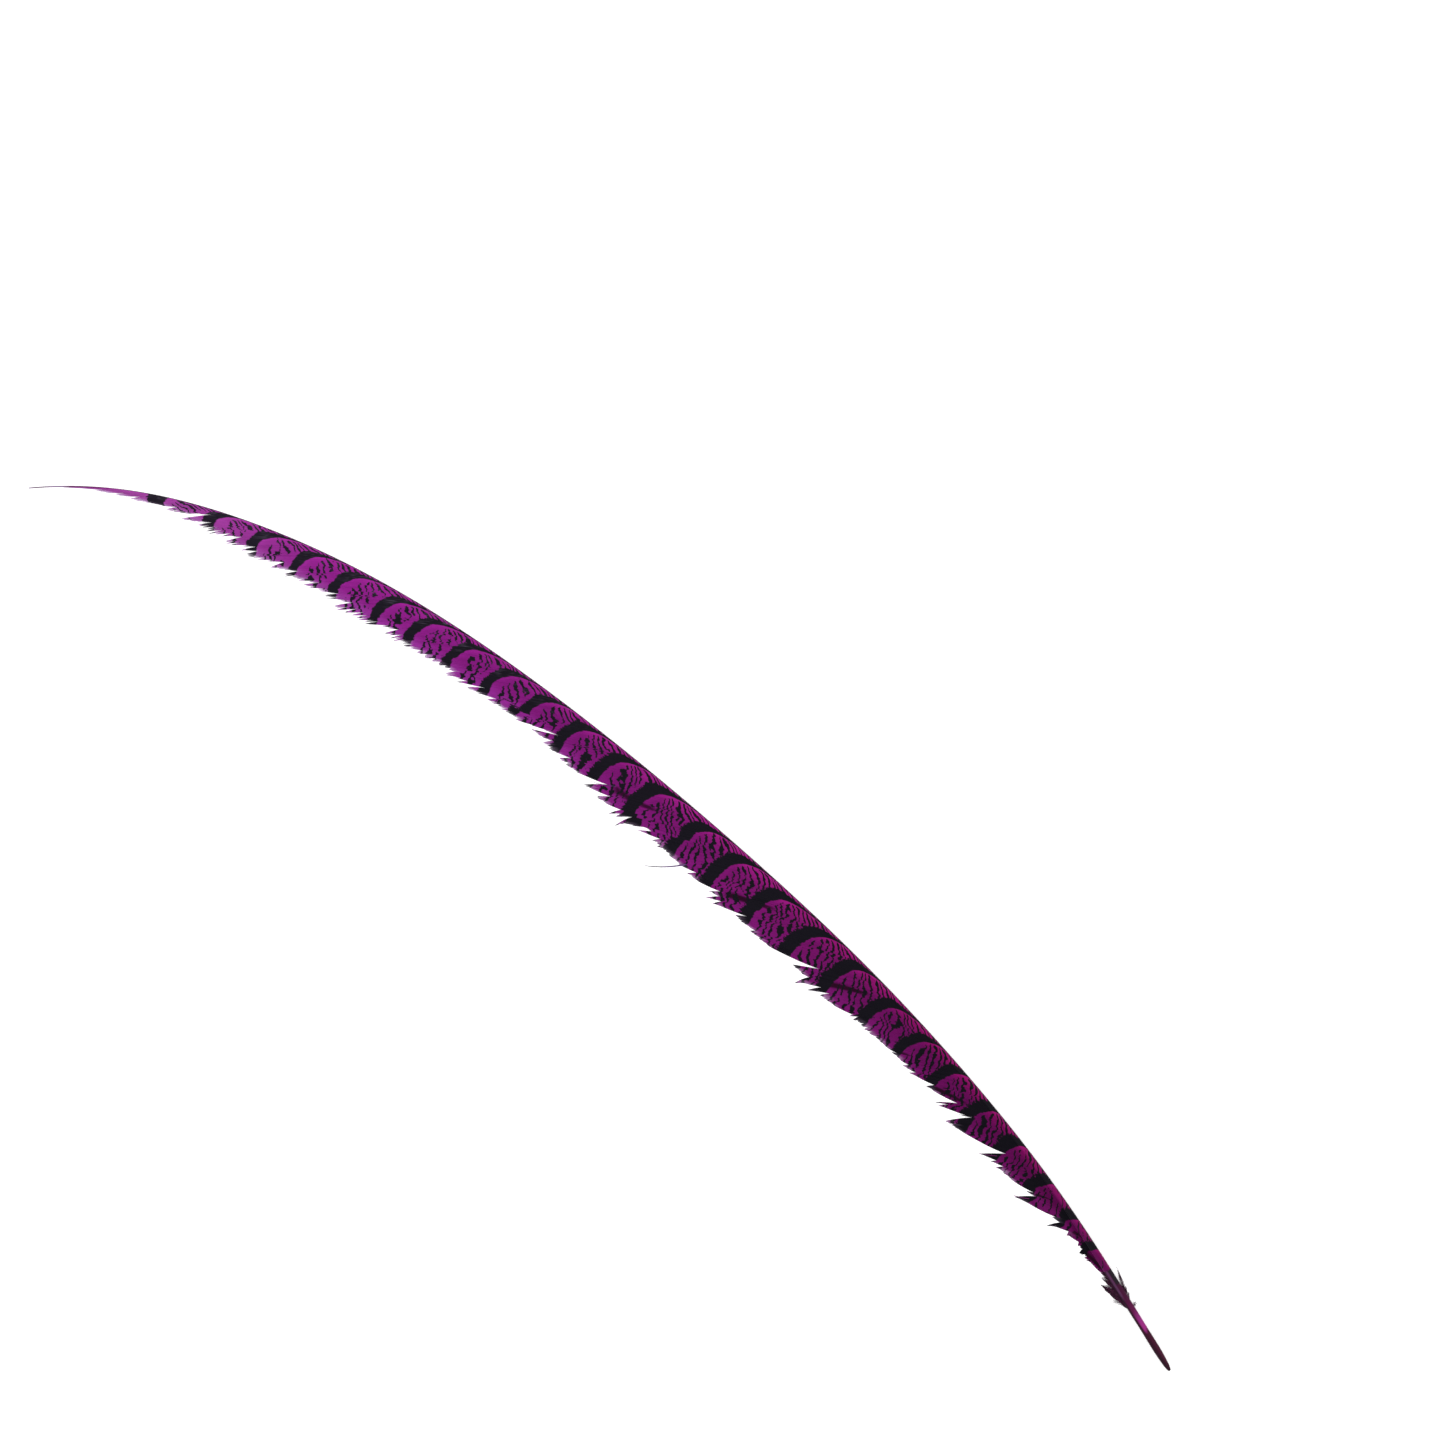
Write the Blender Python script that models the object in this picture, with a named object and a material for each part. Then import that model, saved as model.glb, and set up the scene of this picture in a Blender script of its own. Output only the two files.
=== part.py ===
"""A pheasant's tail feather, lying face up on a flat surface: one grown piece.

The shaft bows in the plane of the surface. A web of barbs grows from its hollow side and is
parted into locks, each with a point of its own, and a few downy tufts grow at its foot.

A spot on the feather is a pair of millimetres, (along, across): along the shaft from the
quill's end, and across from the shaft's bulging side towards the web's free edge.
"""

import bmesh
import bpy
import numpy as np

MM = 0.001

# The shaft: its length, its direction at each tenth of it in degrees from +X, and its
# width at a few stations. It is a little flatter than it is wide.
LENGTH = 628.5
HEADINGS = (-20.7, -19.4, -13.5, -9.2, -5.2, -2.7, 0.2, 4.9, 13.0, 23.9, 42.7)
SHAFT_WIDTHS = (
    (0, 1.1), (1.5, 1.9), (5, 2.6), (22, 3.0), (45, 3.2), (100, 2.6), (200, 2.1),
    (320, 1.6), (450, 1.15), (560, 0.8), (628.5, 0.4),
)
SHAFT_FLATNESS = 0.95

# The shaft's section, as shares of its half width and of its height, anticlockwise as seen
# from the quill's end. The webs grow between the lower and the upper corner of a side.
SECTION = (
    (0.4, 0.0), (0.92, 0.3), (1.0, 0.58), (0.62, 0.92), (0.0, 1.0),
    (-0.62, 0.92), (-1.0, 0.58), (-0.92, 0.3), (-0.4, 0.0),
)
HOLLOW_SIDE = (1, 2)
BULGING_SIDE = (7, 6)
QUILL_STATIONS = (0, 0.5, 1.5, 3, 5.5, 10, 16, 23, 30)
TIP_STATIONS = (610, 616, 622, 628.5)

# The web: how far it reaches across at a few stations, and the angle in degrees between
# its barbs and the shaft. A barb on the rim of a split lies closer to the shaft.
WEB_OUTLINE = (
    (40, 3.5), (50, 3.7), (60, 5.7), (80, 7.2), (100, 11.8), (112, 14.4), (140, 16.4),
    (180, 17.0), (215, 20.5), (280, 22.0), (335, 21.0), (375, 17.3), (392, 15.8),
    (430, 17.5), (480, 16.2), (520, 13.6), (545, 9.3), (560, 4.8), (585, 3.1), (600, 1.3),
    (612, 0.8),
)
BARB_LEANS = (
    (30, 40), (100, 38), (200, 31), (300, 26), (400, 24), (520, 22), (565, 16), (600, 9),
    (628.5, 8),
)
RIM_LEAN = 0.68
RIM_SHARE = 0.7
RIM_STEPS = 40
EDGE_THICKNESS = 0.35
FLAT_FROM = 0.6

# Each lock, from the foot to the tip: the spot of its point, then the spot where the split
# that parts it from the next lock begins.
WEB_START = (34.5, 3.6)
WEB_START_ROOT = 33.0
LOCKS = (
    (45.4, 6.9, 40.4, 3.9), (49.9, 4.2, 49.6, 3.5), (61.9, 6.9, 62.4, 5.3),
    (65.1, 6.2, 65.9, 4.9), (71.4, 7.5, 71.9, 6.0), (79.4, 12.7, 76.7, 6.8),
    (80.9, 8.4, 79.7, 6.7), (97.4, 16.5, 88.4, 5.3), (95.7, 10.3, 92.4, 7.6),
    (112.4, 15.1, 109.9, 12.0), (115.9, 15.4, 113.9, 12.8), (120.9, 16.8, 113.2, 7.3),
    (141.6, 19.5, 133.9, 8.8), (140.1, 13.7, 135.9, 9.9), (148.7, 17.7, 145.9, 14.0),
    (150.6, 17.6, 142.9, 10.0), (158.1, 15.8, 155.4, 12.6), (167.4, 17.7, 164.9, 15.2),
    (171.4, 17.5, 169.4, 15.3), (178.9, 17.2, 175.9, 15.4), (200.4, 19.4, 199.2, 17.0),
    (202.6, 19.9, 201.9, 18.2), (217.9, 22.3, 214.4, 18.5), (223.4, 24.7, 218.9, 19.2),
    (229.4, 26.3, 225.9, 19.9), (235.4, 21.2, 223.9, 13.7), (258.7, 23.0, 256.4, 21.2),
    (267.9, 22.3, 262.4, 18.8), (278.4, 25.0, 275.4, 21.6), (282.2, 25.0, 277.4, 20.6),
    (283.0, 22.3, 278.4, 18.7), (294.9, 22.4, 291.4, 19.5), (315.4, 21.5, 312.4, 18.7),
    (322.9, 22.3, 317.4, 18.7), (331.9, 27.5, 327.4, 19.0), (334.1, 24.0, 332.7, 21.4),
    (337.1, 24.8, 333.4, 20.0), (345.4, 22.0, 340.4, 18.5), (352.9, 21.7, 344.4, 15.3),
    (368.4, 19.4, 363.9, 16.4), (377.9, 18.3, 375.2, 15.6), (385.4, 17.0, 373.9, 12.0),
    (408.4, 17.8, 405.4, 15.7), (418.4, 18.5, 411.4, 14.3), (423.6, 19.3, 419.9, 16.5),
    (429.4, 18.7, 426.9, 16.3), (451.4, 18.3, 448.4, 16.4), (460.9, 18.0, 457.4, 14.3),
    (486.4, 18.4, 480.4, 14.0), (491.9, 15.9, 487.4, 13.2), (502.4, 15.7, 497.9, 13.2),
    (511.9, 15.0, 507.4, 12.0), (518.4, 14.6, 514.9, 11.0), (530.4, 13.1, 526.9, 10.7),
    (532.9, 12.2, 528.4, 9.3), (540.9, 11.0, 535.4, 7.5), (554.4, 7.9, 549.4, 5.6),
    (561.9, 7.3, 550.2, 2.4), (569.4, 5.0, 564.4, 2.8), (584.9, 3.2, 581.4, 1.9),
    (591.4, 2.1, 587.9, 1.3), (599.4, 1.4, 597.4, 0.9), (611.4, 0.9, 606.4, 0.8),
)
LOCK_GAP = 1.5
COLUMN_SPACING = 4.3
INNER_ROWS = 5
OUTER_ROWS = 4
BEND = 0.3

# The tufts on the bulging side: the stations of their first and last roots, how far out
# their barbs turn along the shaft, and the spot of their point.
TUFTS = (
    (30.0, 33.0, -0.6, 33.6, -1.8),
    (36.0, 41.0, -0.9, 48.0, -2.3),
)
TUFT_REACH = 2.5

FEATHER_COLOUR = (0.091, 0.009, 0.070, 1.0)
FEATHER_ROUGHNESS = 0.55


def curve_through(points, at):
    """The value at a station, or at many, of the smooth curve through (station, value)."""
    stations, values = np.array(points, float).T
    slopes = np.gradient(values, stations)
    at = np.clip(at, stations[0], stations[-1])
    low = np.clip(np.searchsorted(stations, at) - 1, 0, len(stations) - 2)
    span = stations[low + 1] - stations[low]
    t = (at - stations[low]) / span
    ease = t * t * (3 - 2 * t)
    turn = span * t * (1 - t) * (slopes[low] * (1 - t) - slopes[low + 1] * t)
    return values[low] * (1 - ease) + values[low + 1] * ease + turn


def eased(share):
    share = np.clip(share, 0.0, 1.0)
    return share * share * (3 - 2 * share)


def shaft_width(along):
    return curve_through(SHAFT_WIDTHS, along)


def shaft_height(along):
    return shaft_width(along) * SHAFT_FLATNESS


def shaft_line():
    """Each millimetre's station along the shaft, its centre and its heading."""
    stations = np.linspace(0, LENGTH, round(LENGTH) + 1)
    tenths = np.linspace(0, LENGTH, len(HEADINGS))
    headings = np.radians(curve_through(np.stack([tenths, HEADINGS], 1), stations))
    middle = (headings[1:] + headings[:-1]) / 2
    steps = np.diff(stations)[:, None] * np.stack([np.cos(middle), np.sin(middle)], 1)
    centres = np.concatenate([[[0, 0]], np.cumsum(steps, 0)])
    return stations, centres, headings


STATIONS, CENTRES, TURNS = shaft_line()


def beside_shaft(along, sideways, height):
    """The point beside the shaft's centre line, in metres."""
    x = np.interp(along, STATIONS, CENTRES[:, 0])
    y = np.interp(along, STATIONS, CENTRES[:, 1])
    heading = np.interp(along, STATIONS, TURNS)
    x -= sideways * np.sin(heading)
    y += sideways * np.cos(heading)
    return x * MM, y * MM, height * MM


def feather_point(along, across, height):
    return beside_shaft(along, across - shaft_width(along) / 2, height)


def split_root(split):
    """The station where the barbs on both rims of a split leave the shaft."""
    along, across = split
    lean = np.radians(curve_through(BARB_LEANS, along))
    return along - (across - shaft_width(along)) / np.tan(lean)


def rim_corner(split, point):
    """Where the lock after a split stops following its rim and turns to its free edge."""
    ahead, out = np.subtract(point, split)
    rim_lean = np.radians(curve_through(BARB_LEANS, split[0])) * RIM_LEAN
    lean = max(rim_lean, np.arctan2(out, ahead))
    along = split[0] + ahead * RIM_SHARE * np.linspace(0, 1, RIM_STEPS)
    across = split[1] + (along - split[0]) * np.tan(lean)
    inside = across < curve_through(WEB_OUTLINE, along)
    last = max(np.flatnonzero(inside), default=1)
    return np.array([along[last], across[last]])


def barb_path(root, waist, tip):
    """The spots from the root to the waist in a straight line, then curving to the tip."""
    root, waist, tip = map(np.array, (root, waist, tip))
    lean = (waist - root) / np.linalg.norm(waist - root)
    bend = waist + lean * BEND * np.linalg.norm(tip - waist)
    spots = [root + (waist - root) * k / INNER_ROWS for k in range(INNER_ROWS)]
    for k in range(OUTER_ROWS + 1):
        t = k / OUTER_ROWS
        spots.append(waist * (1 - t) ** 2 + bend * 2 * t * (1 - t) + tip * t * t)
    return spots


def lock_paths():
    """For each lock, its columns of barbs, as a root station and the path from there."""
    locks = []
    split, root = np.array(WEB_START), WEB_START_ROOT
    for point_along, point_across, next_along, next_across in LOCKS:
        point = np.array([point_along, point_across])
        next_split = np.array([next_along, next_across])
        next_root = max(split_root(next_split), root + LOCK_GAP)
        corner = rim_corner(split, point)
        count = max(1, round((next_root - root) / COLUMN_SPACING))
        columns = []
        for share in np.linspace(0, 1, count + 1):
            station = root + (next_root - root) * share
            foot = (station, shaft_width(station))
            waist = split + (next_split - split) * share
            columns.append((station, barb_path(foot, waist, corner + (point - corner) * share)))
        locks.append(columns)
        split, root = next_split, next_root
    return locks


def web_heights(along, across):
    """The height of the web's underside and of its face: it comes down to the surface."""
    height, width = shaft_height(along), shaft_width(along)
    if across < width / 2:
        out, reach = -across, TUFT_REACH
    else:
        out = across - width
        reach = max(curve_through(WEB_OUTLINE, along) - width, width / 2)
    lower, upper = height * SECTION[1][1], height * SECTION[2][1]
    fall = eased(out / (FLAT_FROM * reach))
    under = lower * (1 - fall)
    edge = min(EDGE_THICKNESS, height / 2)
    return under, under + (upper - lower) * (1 - fall) + edge * fall


def add_ring(bm, station):
    half, height = shaft_width(station) / 2, shaft_height(station)
    return [
        bm.verts.new(beside_shaft(station, across * half, up * height))
        for across, up in SECTION
    ]


def add_shaft(bm, stations, webbed):
    """Makes the shaft's skin, left open where webbed holds (station number, side)."""
    rings = [add_ring(bm, station) for station in stations]
    corners = len(SECTION)
    for number, (near, far) in enumerate(zip(rings, rings[1:])):
        for low in range(corners):
            high = (low + 1) % corners
            if (number, low) not in webbed:
                bm.faces.new((near[low], near[high], far[high], far[low]))
    bm.faces.new(rings[0])
    bm.faces.new(rings[-1][::-1])
    return rings


def web_column(bm, ring, side, path, shared):
    """One column of the web, as pairs of its lower and upper vertex, from the shaft out."""
    column = [(ring[side[0]], ring[side[1]])]
    if shared:
        column = shared[: INNER_ROWS + 1]
    for along, across in path[len(column):]:
        under, face = web_heights(along, across)
        column.append(
            (
                bm.verts.new(feather_point(along, across, under)),
                bm.verts.new(feather_point(along, across, face)),
            )
        )
    return column


def add_wall(bm, pairs):
    for (low, high), (next_low, next_high) in zip(pairs, pairs[1:]):
        bm.faces.new((low, next_low, next_high, high))


def add_web(bm, rings, first_ring, side, locks):
    """Grows locks from one side of the shaft, each on the rings that follow the last's."""
    ring, last_column = first_ring, None
    for number, paths in enumerate(locks):
        columns = []
        for path in paths:
            shared = last_column if not columns else None
            columns.append(web_column(bm, rings[ring + len(columns)], side, path, shared))
        for near, far in zip(columns, columns[1:]):
            for row in range(len(near) - 1):
                for layer in (0, 1):
                    bm.faces.new(
                        (near[row][layer], near[row + 1][layer],
                         far[row + 1][layer], far[row][layer])
                    )
        add_wall(bm, [column[-1] for column in columns])
        add_wall(bm, columns[0][INNER_ROWS if number else 0:])
        add_wall(bm, columns[-1][INNER_ROWS if number < len(locks) - 1 else 0:])
        ring += len(columns) - 1
        last_column = columns[-1]


def tuft_paths(stations, tuft):
    """A tuft's first ring, and its columns on every ring between its roots."""
    first, last, turn, point_along, point_across = tuft
    numbers = [n for n, station in enumerate(stations) if first <= station <= last]
    paths = []
    for number in numbers:
        station = stations[number]
        share = (station - stations[numbers[0]]) / (last - first)
        waist = (station - turn, turn)
        tip = (point_along, point_across + EDGE_THICKNESS * share)
        paths.append(barb_path((station, 0), waist, tip))
    return numbers[0], paths


def build_feather():
    locks = lock_paths()
    roots = [WEB_START_ROOT]
    for columns in locks:
        roots += [station for station, path in columns[1:]]
    stations = [*QUILL_STATIONS, *roots, *TIP_STATIONS]
    first_web = len(QUILL_STATIONS)
    tufts = [tuft_paths(stations, tuft) for tuft in TUFTS]

    webbed = {(first_web + number, HOLLOW_SIDE[0]) for number in range(len(roots) - 1)}
    for first, paths in tufts:
        webbed |= {(first + number, BULGING_SIDE[1]) for number in range(len(paths) - 1)}

    bm = bmesh.new()
    rings = add_shaft(bm, stations, webbed)
    web = [[path for station, path in columns] for columns in locks]
    add_web(bm, rings, first_web, HOLLOW_SIDE, web)
    for first, paths in tufts:
        add_web(bm, rings, first, BULGING_SIDE, [paths])
    bmesh.ops.triangulate(bm, faces=bm.faces)
    bmesh.ops.recalc_face_normals(bm, faces=bm.faces)

    mesh = bpy.data.meshes.new("feather")
    bm.to_mesh(mesh)
    bm.free()
    return mesh


def centre_on_origin(mesh):
    """Moves the middle of the mesh's box, seen from above, onto the origin."""
    spots = np.array([vertex.co for vertex in mesh.vertices])
    middle = (spots.max(0) + spots.min(0)) / 2
    for vertex in mesh.vertices:
        vertex.co.x -= middle[0]
        vertex.co.y -= middle[1]


def feather_material():
    material = bpy.data.materials.new("dyed_feather")
    material.use_nodes = True
    shader = material.node_tree.nodes["Principled BSDF"]
    shader.inputs["Base Color"].default_value = FEATHER_COLOUR
    shader.inputs["Roughness"].default_value = FEATHER_ROUGHNESS
    shader.inputs["Metallic"].default_value = 0.0
    return material


def main():
    for thing in list(bpy.data.objects):
        bpy.data.objects.remove(thing)
    mesh = build_feather()
    centre_on_origin(mesh)
    mesh.materials.append(feather_material())
    feather = bpy.data.objects.new("feather", mesh)
    bpy.context.scene.collection.objects.link(feather)


main()
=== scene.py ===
"""The looks of a dyed pheasant's tail feather: its barbs, its shaft and down, and their colours.

A spot on the feather is a pair of millimetres, (along, across): along the shaft from the
quill's end, which is its station, and across from the shaft's bulging side to the web's free
edge. Over a span of (low, high) something rises, or falls where low is the higher. Angles are
in degrees, and colours are sRGB, from 0 to 255.
"""

import math
from typing import NamedTuple

import bpy
import numpy as np
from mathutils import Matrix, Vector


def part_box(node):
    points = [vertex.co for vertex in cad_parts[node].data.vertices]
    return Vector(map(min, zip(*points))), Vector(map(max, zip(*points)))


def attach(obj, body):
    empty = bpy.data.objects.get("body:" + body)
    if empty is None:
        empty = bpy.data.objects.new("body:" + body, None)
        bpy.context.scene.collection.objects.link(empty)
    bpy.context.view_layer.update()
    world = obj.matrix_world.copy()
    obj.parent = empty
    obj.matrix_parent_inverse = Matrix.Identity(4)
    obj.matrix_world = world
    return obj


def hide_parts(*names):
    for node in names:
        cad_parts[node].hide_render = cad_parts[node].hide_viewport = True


MM = 0.001
TINY = 1e-6
SEED = 7

# The shaft's length, its heading at each tenth of it, its width, its height as a share of that,
# and its looks' size as a share of the solid's.
LENGTH = 628.5
HEADINGS = (-20.7, -19.4, -13.5, -9.2, -5.2, -2.7, 0.2, 4.9, 13.0, 23.9, 42.7)
SHAFT_WIDTHS = (
    (0, 1.1), (1.5, 1.9), (5, 2.6), (22, 3.0), (45, 3.2), (100, 2.6), (200, 2.1),
    (320, 1.6), (450, 1.15), (560, 0.8), (628.5, 0.4),
)
SHAFT_FLATNESS = 0.95
SHAFT_CLEARANCE = 0.995

# The shaft's rings, how they round above and below, and how low they reach.
QUILL_STATIONS = (0, 0.25, 0.6)
SHAFT_STEP = 1.2
SHAFT_SIDES = 20
RING_TURNS = np.linspace(0, 2 * math.pi, SHAFT_SIDES, endpoint=False)
SHAFT_ROUNDING = (0.9, 0.6)
SHAFT_BELLY = 0.04

# The web's reach across, how far past it shares are counted, and its barbs' angle to the shaft.
WEB_OUTLINE = (
    (40, 3.5), (50, 3.7), (60, 5.7), (80, 7.2), (100, 11.8), (112, 14.4), (140, 16.4),
    (180, 17.0), (215, 20.5), (280, 22.0), (335, 21.0), (375, 17.3), (392, 15.8),
    (430, 17.5), (480, 16.2), (520, 13.6), (545, 9.3), (560, 4.8), (585, 3.1), (600, 1.3),
    (612, 0.8),
)
PAST_EDGE = 1.4
BARB_LEANS = (
    (30, 40), (100, 38), (200, 31), (300, 26), (400, 24), (520, 22), (565, 16), (600, 9),
    (628.5, 8),
)

# Each lock of barbs: the spot of its point, then where the split before the next one begins.
WEB_START = (34.5, 3.6)
WEB_START_ROOT = 33.0
LOCKS = (
    (45.4, 6.9, 40.4, 3.9), (49.9, 4.2, 49.6, 3.5), (62.2, 7.3, 62.4, 5.3),
    (65.1, 6.2, 65.9, 4.9), (71.4, 7.5, 71.9, 6.0), (79.4, 12.7, 76.7, 6.8),
    (80.9, 8.4, 79.7, 6.7), (97.4, 16.5, 91.8, 9.0), (96.3, 11.0, 92.9, 8.0),
    (112.4, 15.1, 109.9, 12.0), (115.9, 15.4, 113.9, 12.8), (121.2, 17.0, 113.1, 7.4),
    (141.6, 19.5, 133.9, 8.8), (140.1, 13.7, 135.9, 9.9), (148.7, 17.7, 145.9, 14.0),
    (150.6, 17.6, 142.9, 10.0), (158.1, 15.8, 155.4, 12.6), (167.4, 17.7, 164.9, 15.2),
    (171.4, 17.5, 169.4, 15.3), (178.9, 17.2, 175.9, 15.4), (200.4, 19.4, 199.2, 17.0),
    (202.6, 19.9, 201.9, 18.2), (217.9, 22.3, 214.4, 18.5), (223.4, 24.7, 218.9, 19.2),
    (229.4, 26.3, 225.9, 19.9), (235.4, 21.2, 223.9, 13.7), (258.7, 23.0, 256.4, 21.2),
    (267.9, 22.3, 262.4, 18.8), (278.4, 25.0, 275.4, 21.6), (282.2, 25.0, 277.4, 20.6),
    (283.0, 22.3, 278.4, 18.7), (294.9, 22.4, 291.4, 19.5), (315.4, 21.5, 312.4, 18.7),
    (322.9, 22.3, 317.4, 18.7), (331.9, 27.5, 327.4, 19.0), (334.1, 24.0, 332.7, 21.4),
    (337.1, 24.8, 333.4, 20.0), (345.4, 22.0, 340.4, 18.5), (352.9, 21.7, 344.4, 15.3),
    (368.4, 19.4, 363.9, 16.4), (377.9, 18.3, 375.2, 15.6), (385.4, 17.0, 373.9, 12.0),
    (408.4, 17.8, 405.4, 15.7), (418.4, 18.5, 411.4, 14.3), (423.6, 19.3, 419.9, 16.5),
    (429.4, 18.7, 426.9, 16.3), (451.4, 18.3, 448.4, 16.4), (460.9, 18.0, 457.4, 14.3),
    (486.4, 18.4, 480.4, 14.0), (491.9, 15.9, 487.4, 13.2), (502.4, 15.7, 497.9, 13.2),
    (511.9, 15.0, 507.4, 12.0), (518.4, 14.6, 514.9, 11.0), (530.4, 13.1, 526.9, 10.7),
    (532.9, 12.2, 528.4, 9.3), (540.9, 11.0, 535.4, 7.5), (554.4, 7.9, 549.4, 5.6),
    (561.9, 7.3, 550.2, 2.4), (569.4, 5.0, 564.4, 2.8), (585.4, 3.5, 580.2, 1.7),
    (591.8, 2.4, 586.9, 1.2), (600.0, 1.6, 597.4, 0.9), (614.0, 0.65, 611.5, 0.6),
)
LOCK_GAP = 1.5
PIECES = 6

# How a lock's edge follows its rim before it turns to its point.
RIM_LEAN = 0.68
RIM_SHARE = 0.7
RIM_OVERHANG = 0.75
RIM_STEPS = 40

# In these locks only the last barbs reach the point, by this power of a barb's share.
SPIKES = {5: 1.5, 24: 1.6, 34: 3.0}

# How far some locks' marks have slid along the feather, and where across the web they do so.
LOCK_SLIDES = {7: 2.0, 12: 1.5, 34: 4.5, 35: 1.5, 36: 1.5, 38: -0.5}
SLIDE_COMES = (0.3125, 0.9375)

# A patch that has slid as well: its spans along and across, and how far.
SLID_PATCH = ((387, 405), (13.2, 13.6), -4.5)

# The barbs' roots, which sink into the shaft's flank, and the steps along a barb.
BARB_SPACINGS = ((560, 0.42), (590, 0.75), (628.5, 0.9))
FEWEST_BARBS = 3
ROOT_SINK = 0.3
INNER_STEPS = 20
OUTER_STEPS = 14
ROOT_CROWDING = 1.7

# How a barb bends past the split, and how far short of its lock's edge, or past it, it may end.
BEND = 0.3
SHORTEST = 0.3
LONGEST = 0.35

# How a barb covers the space to the next one, by step, and tapers over its last millimetres.
BARB_COVERS = ((INNER_STEPS - 4, 2.1), (INNER_STEPS + 4, 1.5))
BARB_WIDTHS = (0.22, 0.62)
BARB_THINNING = ((570, 1.0), (595, 0.7))
HAIR_WIDTH = 0.12
TAPER = 1.5
TAPER_POWER = 0.7
LAST_STEP = 0.3

# A barb's thickness as a share of its width, its tilt, and how it sinks from the shaft.
BARB_THICKNESS = 0.4
BARB_THICKNESSES = (0.02, 0.16)
BARB_TILT = 14
ROOT_HEIGHT = 0.62
EDGE_HEIGHT = 0.17
FLAT_FROM = 0.6

# Barbs cling in clumps, along these lengths of roots. A clump's tips pinch on a spot between
# its middle and its last barb, and reach past the lock's edge, its outer ones by less.
CLUMP_ROOTS = (0.8, 2.8)
CLUMP_PINCH = (0.2, 0.6)
PINCH_LIMIT = 0.92
CLUMP_FOCUS = 0.4
CLUMP_REACH = (-0.5, 1.2)
BARB_REACH = 0.45
CLUMP_FALL = 0.9

# A lock's last clump pinches on its point. A lock with few roots whose point stands this far
# out of the web is one clump.
LAST_PINCH = 0.2
LONE_PINCH = 0.15
LAST_REACH = 0.6
LAST_FALL = 0.3
LONE_ROOTS = 6.5
LONE_OUT = 1.2

# How much clumps and barbs slip with their marks, lift and differ in tone. Bars slip by less.
SLIPS = (0.4, 0.1)
LIFTS = (0.04, 0.02)
TONES = (0.5, 0.5)
SLIP_COMES = (0, 1 / 3)
LIFT_COMES = (0, 2 / 3)
BAR_SLIP = 0.5

# Where the free edge is hairier, with locks that part deeper and clumps that end thinner.
HAIRY_COMES = (300, 480)
HAIRY_GOES = (584, 570)
HAIRY_RIM = 0.32
HAIRY_DEPTH = 2.0
HAIRY_CLUMPS = 0.2
HAIRY_PINCH = 0.9
HAIRY_REACH = 1.0
HAIRY_WIDTH = 0.07
HAIRY_TAPER = 3.5

# The black bars: where each crosses the middle of the web, its width along the shaft there,
# and how strongly its tail bends back beside the shaft. The first two meet.
BARS = (
    (43.8, 4.0, 1),
    (47.4, 5.6, 1), (63.3, 4.7, 3), (79.3, 5.7, 4), (97.6, 5.6, 4), (118.7, 6.2, 8),
    (137.9, 5.6, 9), (158.4, 5.2, 13), (178.0, 5.0, 28), (198.2, 5.6, 25), (220.3, 6.3, 24),
    (241.5, 6.6, 40), (264.4, 6.1, 29), (286.6, 6.2, 29), (307.2, 5.8, 31), (331.1, 6.2, 26),
    (352.0, 5.4, 27), (372.9, 5.0, 23), (392.2, 4.7, 28), (411.7, 4.4, 33), (431.3, 4.3, 34),
    (450.9, 4.4, 36), (468.3, 4.3, 32), (489.6, 4.3, 30), (509.4, 3.9, 28), (529.8, 4.4, 20),
    (551.0, 5.2, 9), (575.7, 7.6, 2),
)
BAR_MIDDLE = 10.0
TAIL_SOFTNESS = 1.0
PAST_BARS = 0.1

# How a bar droops back by the free edge and widens beside the shaft.
BAR_DROOP = 1.2
DROOP_COMES = (2 / 3, 1)
BAR_SPREAD = 5.0
SPREAD_SOFTNESS = 0.5
SPREAD_COMES = (0, 3)
SPREAD_SHARES = ((80, 0.0), (180, 0.8), (400, 1.0), (520, 1.0), (560, 0.0))

# The fine dark lines between the bars: how far apart they are, and by how many periods they
# bow and fan out beside the shaft.
LINE_PERIODS = ((50, 3.3), (320, 3.4), (430, 3.5), (600, 3.8))
LINE_BOWS = ((50, 1.3), (330, 1.6), (385, 1.1), (600, 0.8))
LINE_SOFTNESS = 1.5
LINE_FANS = ((50, 0.0), (250, 0.3), (330, 0.8), (440, 1.7), (600, 1.8))
FAN_REACH = 2.2

# Painted shade in creases, where a lock's rim lies under its neighbour: their spots, width and
# darkness, then how they come, go and fade.
SHADED_CREASES = (
    (((140, 7.5), (150, 11.5), (157, 14.8)), 0.7, 0.95),
    (((172, 12.5), (178, 15.5)), 0.5, 0.85),
    (((202, 7.0), (212, 12.5), (223, 19.5)), 1.0, 0.95),
    (((255, 8.5), (265, 13.0), (278, 18.8)), 1.0, 0.95),
    (((319, 10.0), (330, 13.3), (344, 15.6)), 1.0, 0.9),
    (((65, 2.2), (68, 3.2), (71.5, 5.0)), 0.5, 0.9),
    (((50, 3.3), (56, 4.2), (62, 5.8)), 0.8, 0.95),
    (((87.5, 4.7), (90, 6.6), (93.5, 9.2)), 0.4, 0.95),
)
CREASE_COMES = (0, 1 / 4)
CREASE_GOES = (1, 7 / 8)
CREASE_START = 0.5
CREASE_FADES = (1.5, 0.5)

# Loose hairs: how they taper, how thick they are, and how they sink at the tip.
HAIR_STEPS = 10
HAIR_TIP = 0.35
HAIR_POWER = 0.6
HAIR_THICKNESS = 0.6
HAIR_SINKS = (0, 5 / 7)
HAIR_CLEARANCE = 0.02

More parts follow.
